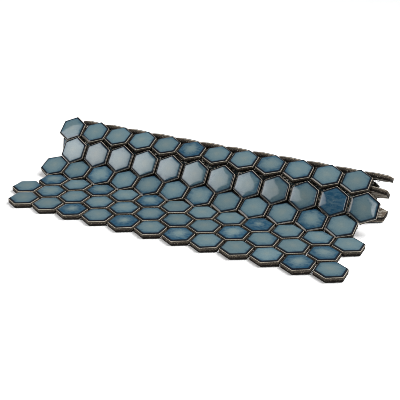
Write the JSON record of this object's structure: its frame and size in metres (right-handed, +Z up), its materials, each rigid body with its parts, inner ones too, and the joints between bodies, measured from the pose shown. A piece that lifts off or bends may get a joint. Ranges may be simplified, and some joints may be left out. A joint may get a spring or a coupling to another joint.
{
  "type": "hexagon mosaic tile sheet",
  "caption": "Sheet of glazed hexagon mosaic tiles on a mesh backing, front rows lying flat and rear rows rolled under, for tiling floors and walls.",
  "frame": {"origin": "centre of the footprint on the floor, under the middle of the sheet", "axes": "+X along the tile rows, +Y from the flat front edge towards the roll, +Z up"},
  "size_m": [0.3104, 0.144, 0.0398],
  "materials": {
    "glazed_tile": "glossy reactive glaze in smoky blue-green, bare taupe clay on the side walls",
    "backing_mesh": "open glass-fibre net in a clear glue"
  },
  "bodies": {
    "root": {"tile_row_01": "glazed_tile", "tile_row_02": "glazed_tile", "tile_row_03": "glazed_tile", "tile_row_04": "glazed_tile", "tile_row_05": "glazed_tile", "tile_row_06": "glazed_tile", "tile_row_07": "glazed_tile", "tile_row_08": "glazed_tile", "tile_row_09": "glazed_tile", "tile_row_10": "glazed_tile", "tile_row_11": "glazed_tile", "mesh_backing": "backing_mesh"}
  },
  "joints": []
}
